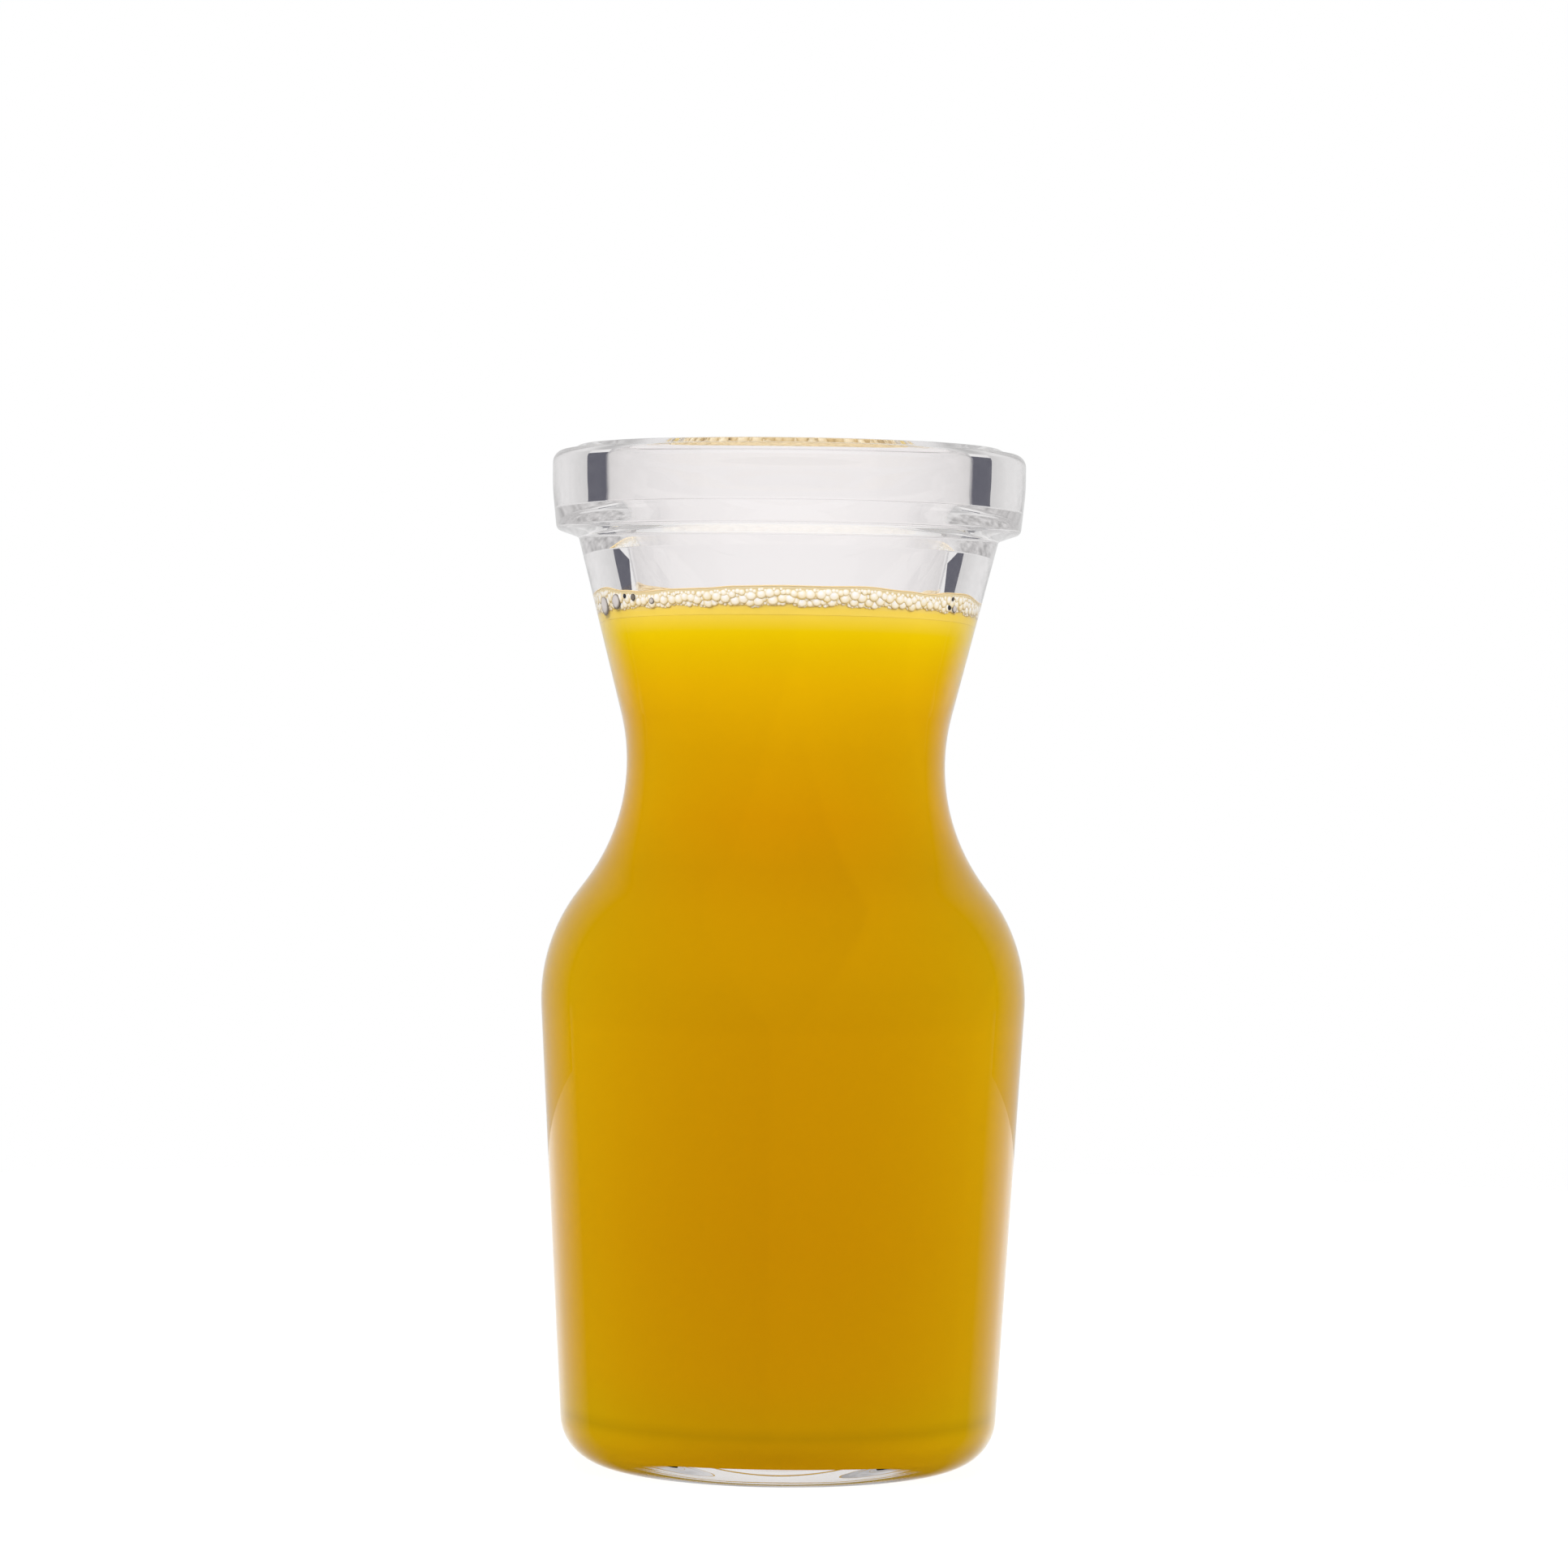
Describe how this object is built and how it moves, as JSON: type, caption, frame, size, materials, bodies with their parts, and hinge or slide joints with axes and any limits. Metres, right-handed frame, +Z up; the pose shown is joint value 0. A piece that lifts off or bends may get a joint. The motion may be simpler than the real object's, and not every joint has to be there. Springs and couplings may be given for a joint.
{
  "type": "wide-mouth glass bottle of orange juice",
  "caption": "Small wide-mouth carafe bottle of clear glass, waisted below a thick finish ring and filled to the neck with orange juice under a froth of bubbles.",
  "frame": {"origin": "middle of the ring that the bottle stands on, at the surface it rests on", "axes": "+Z up the bottle's axis of turning; +X and +Y are alike, as the bottle is round"},
  "size_m": [0.0662, 0.0662, 0.1388],
  "materials": {
    "clear_glass": "clear pressed soda-lime glass, polished",
    "orange_juice": "cloudy orange juice behind glass",
    "juice_froth": "pale cream froth of small wet bubbles"
  },
  "bodies": {
    "root": {"bottle": "clear_glass", "juice": "orange_juice", "froth": "juice_froth"}
  },
  "joints": []
}
